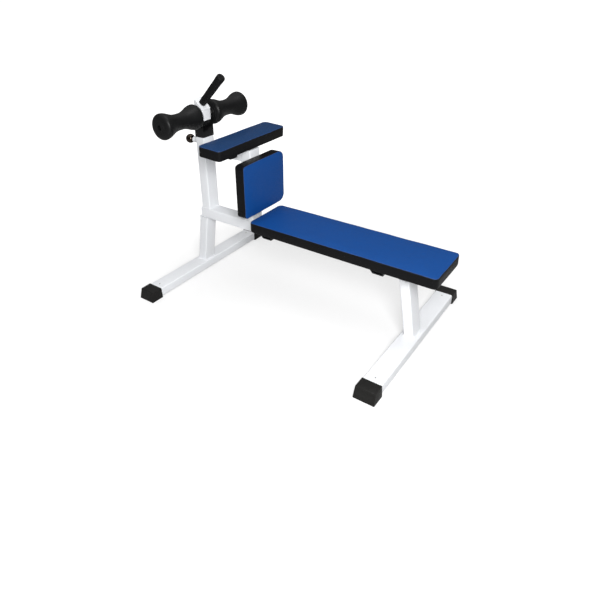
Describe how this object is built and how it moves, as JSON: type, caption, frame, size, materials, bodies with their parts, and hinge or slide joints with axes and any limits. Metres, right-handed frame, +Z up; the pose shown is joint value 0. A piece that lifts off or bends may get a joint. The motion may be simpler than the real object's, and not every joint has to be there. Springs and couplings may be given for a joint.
{
  "type": "roman chair",
  "caption": "Roman chair with a padded bench, an upright back pad, a knee pad and a height-adjustable head of ankle rollers with a grip, on a steel tube frame.",
  "frame": {"origin": "on the floor, at the middle of the object's box", "axes": "+X from the roller head along the bench, +Y to the right-hand rollers seen from the head, +Z up"},
  "size_m": [1.5316, 0.9768, 1.1586],
  "materials": {
    "white": "satin powder coat",
    "black_paint": "satin paint",
    "black_plastic": "gloss",
    "black_rubber": "matt",
    "blue_vinyl": "semi-matt vinyl, blue face with black sides",
    "plywood": "raw",
    "bright_steel": "bright",
    "zinc": "zinc plated"
  },
  "bodies": {
    "frame": {"back_board": "plywood", "back_bolt_lower": "zinc", "back_bolt_upper": "zinc", "back_bracket_lower": "black_paint", "back_bracket_upper": "black_paint", "back_cushion": "blue_vinyl", "beam_front_plate": "white", "beam_rear_plate": "white", "bench_board": "plywood", "bench_bolt_front_left": "zinc", "bench_bolt_front_right": "zinc", "bench_bolt_rear_left": "zinc", "bench_bolt_rear_right": "zinc", "bench_bracket_front_left": "black_paint", "bench_bracket_front_right": "black_paint", "bench_bracket_rear_left": "black_paint", "bench_bracket_rear_right": "black_paint", "bench_cushion": "blue_vinyl", "column": "white", "foot_cap_front_left": "black_rubber", "foot_cap_front_right": "black_rubber", "foot_cap_rear_left": "black_rubber", "foot_cap_rear_right": "black_rubber", "foot_cap_screw_front_left": "zinc", "foot_cap_screw_front_right": "zinc", "foot_cap_screw_rear_left": "zinc", "foot_cap_screw_rear_right": "zinc", "front_foot_bar": "white", "front_post": "white", "guide_collar": "black_plastic", "knee_board": "plywood", "knee_bolt_left": "zinc", "knee_bolt_right": "zinc", "knee_bracket_left": "black_paint", "knee_bracket_right": "black_paint", "knee_cross_bar": "black_paint", "knee_cushion": "blue_vinyl", "lower_rear_post": "white", "main_beam": "white", "pad_arm": "white", "pad_upright": "white", "pin_housing": "white", "pin_spring": "zinc", "rear_foot_bar": "white"},
    "head": {"slide_tube": "black_paint", "roller_head": "white", "handle_plate": "white", "handle_bar": "bright_steel", "handle_grip": "black_rubber", "roller_axle": "bright_steel", "roller_spacer_left": "zinc", "roller_spacer_right": "zinc", "axle_nut_left": "black_paint", "axle_nut_right": "black_paint"},
    "left_roller": {"roller_left": "black_rubber"},
    "right_roller": {"roller_right": "black_rubber"},
    "pin": {"pull_pin": "bright_steel", "pull_pin_knob": "black_plastic"}
  },
  "joints": [
    {"name": "head_slide", "type": "slide", "parent": "frame", "child": "head", "axis": [0, 0, 1], "range_m": [-0.018, 0.12]},
    {"name": "roller_left_spin", "type": "hinge", "parent": "head", "child": "left_roller", "pos_m": [-0.62925, -0.18, 0.938], "axis": [0, 1, 0], "continuous": true},
    {"name": "roller_right_spin", "type": "hinge", "parent": "head", "child": "right_roller", "pos_m": [-0.62925, 0.18, 0.938], "axis": [0, 1, 0], "continuous": true},
    {"name": "pull_pin_slide", "type": "slide", "parent": "frame", "child": "pin", "axis": [-1, 0, 0], "range_m": [0, 0.01], "stiffness_N_per_m": 800, "springref_m": -0.005, "deforming": ["pin_spring"]}
  ]
}
